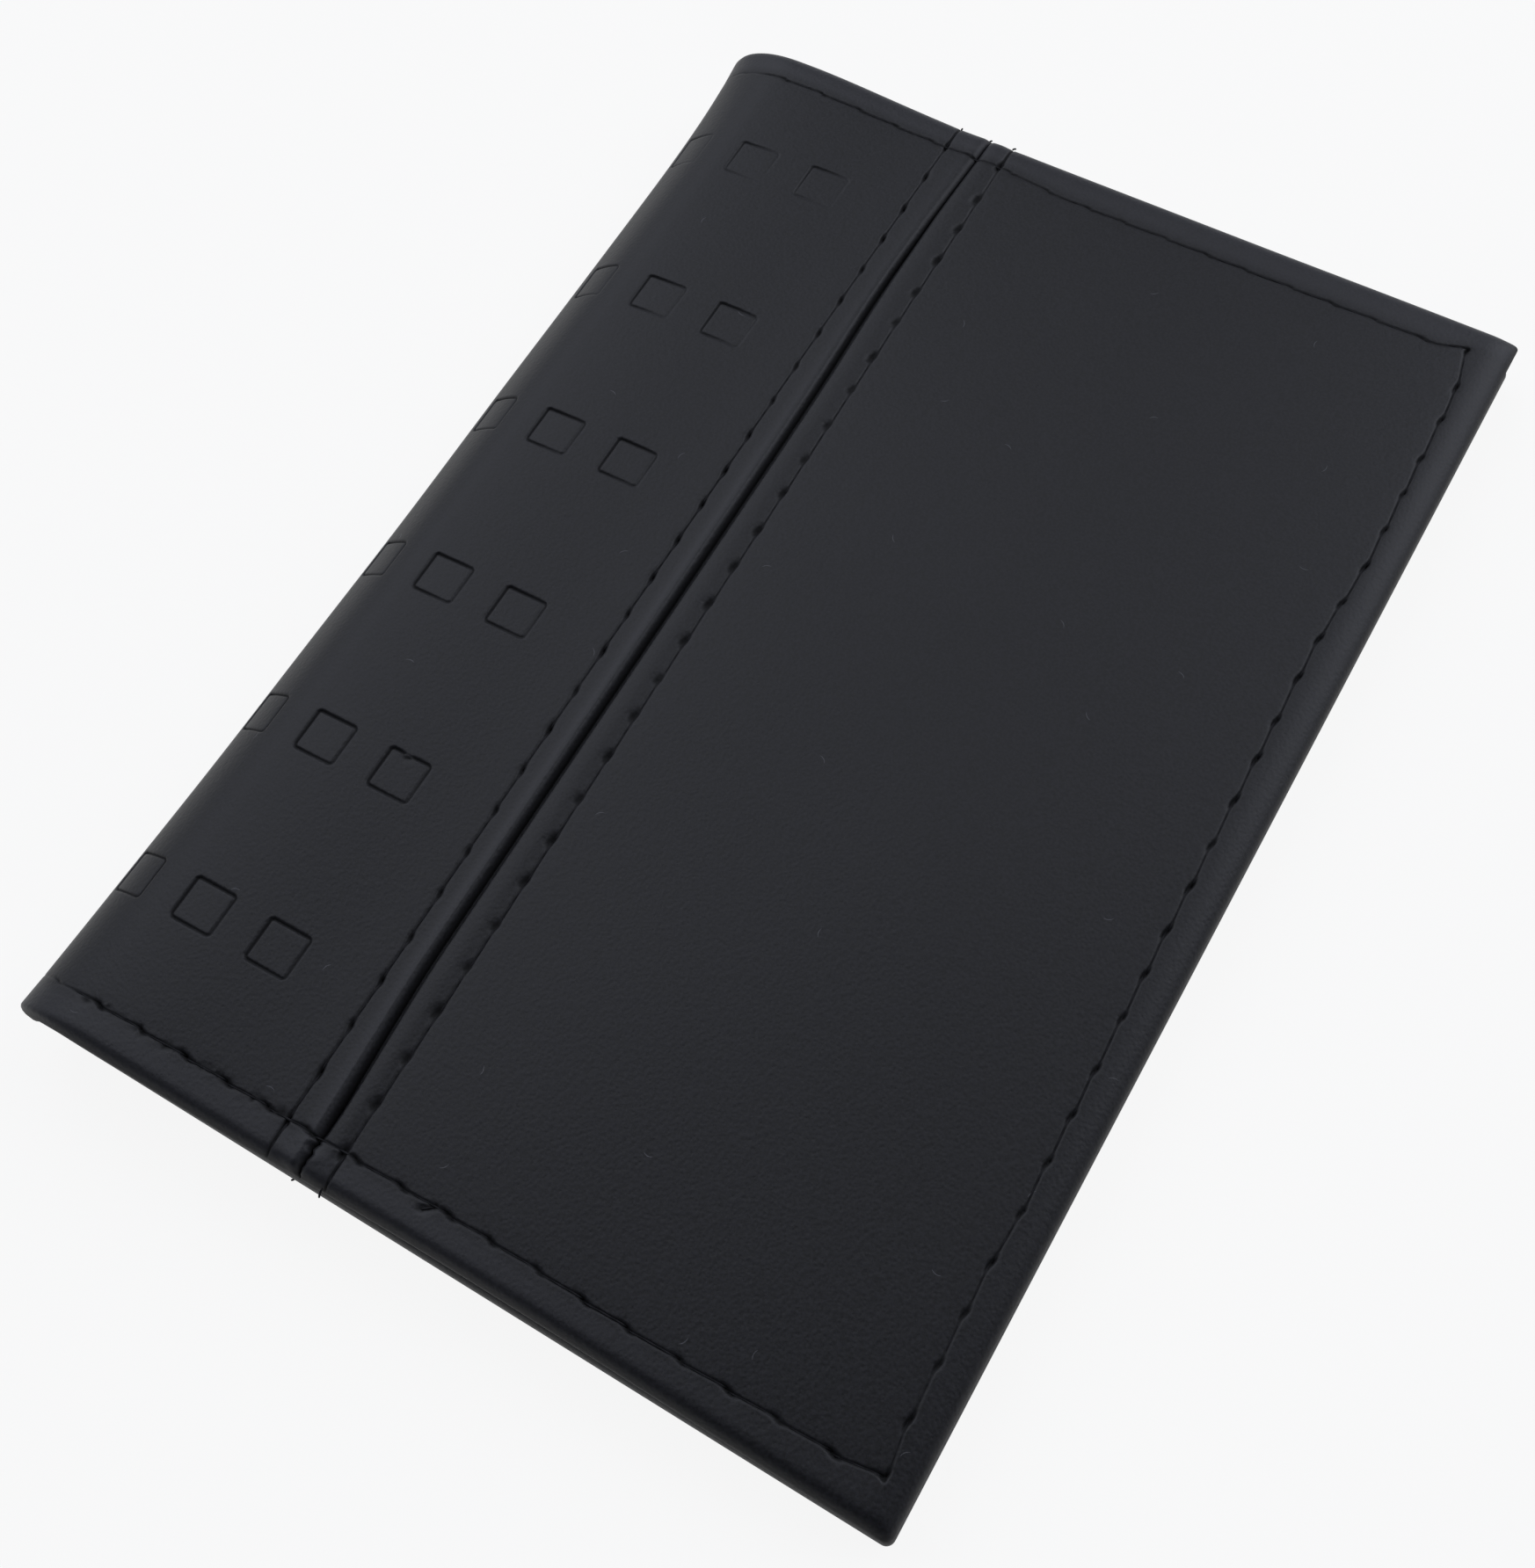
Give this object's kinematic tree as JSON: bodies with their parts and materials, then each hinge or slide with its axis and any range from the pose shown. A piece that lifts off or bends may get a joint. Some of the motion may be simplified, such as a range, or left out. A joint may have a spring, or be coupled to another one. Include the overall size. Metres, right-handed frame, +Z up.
{
  "type": "document wallet",
  "caption": "Passport-size document wallet: two padded leather covers on a soft folded spine, opening flat like a book, with a sleeve pocket inside each cover.",
  "frame": {"origin": "on the table under the middle of the closed wallet, which lies on its back cover", "axes": "+X from the spine to the fore-edge, +Y from tail to head, +Z up out of the front cover"},
  "size_m": [0.1007, 0.144, 0.0112],
  "materials": {
    "cover_leather": "smooth matte black bonded leather",
    "pocket_leather": "thin smooth black bonded leather",
    "woven_lining": "fine plain-woven black lining",
    "foam_padding": "thin felted padding",
    "seam_tape": "black woven tape",
    "sewing_thread": "black polyester sewing thread"
  },
  "bodies": {
    "back_cover": {"back_cover_panel": "cover_leather", "back_spine_strip": "cover_leather", "back_cover_padding": "foam_padding", "back_strip_padding": "foam_padding", "back_seam_tape": "seam_tape", "back_lining": "woven_lining", "back_pocket": "pocket_leather", "back_hem_thread": "sewing_thread", "back_hem_bobbin_thread": "sewing_thread", "back_seam_thread_strip_side": "sewing_thread", "back_seam_thread_panel_side": "sewing_thread", "back_seam_bobbin_strip_side": "sewing_thread", "back_seam_bobbin_panel_side": "sewing_thread"},
    "spine": {"spine_fold_panel": "cover_leather", "spine_padding": "foam_padding", "spine_lining": "woven_lining", "spine_tail_thread": "sewing_thread", "spine_head_thread": "sewing_thread", "spine_tail_bobbin_thread": "sewing_thread", "spine_head_bobbin_thread": "sewing_thread"},
    "front_cover": {"front_cover_panel": "cover_leather", "front_spine_strip": "cover_leather", "front_cover_padding": "foam_padding", "front_strip_padding": "foam_padding", "front_seam_tape": "seam_tape", "front_lining": "woven_lining", "front_pocket": "pocket_leather", "front_hem_thread": "sewing_thread", "front_hem_bobbin_thread": "sewing_thread", "front_seam_thread_strip_side": "sewing_thread", "front_seam_thread_panel_side": "sewing_thread", "front_seam_bobbin_strip_side": "sewing_thread", "front_seam_bobbin_panel_side": "sewing_thread"}
  },
  "joints": [
    {"name": "back_fold", "type": "hinge", "parent": "back_cover", "child": "spine", "pos_m": [-0.04895, 0, 0.00155], "axis": [0, -1, 0], "range_deg": [0, 91.08]},
    {"name": "front_fold", "type": "hinge", "parent": "spine", "child": "front_cover", "pos_m": [-0.04879, 0, 0.00994], "axis": [0, -1, 0], "range_deg": [0, 91.08]}
  ],
  "couplings": [
    {"joint": "front_fold", "follows": "back_fold", "ratio": 1}
  ]
}
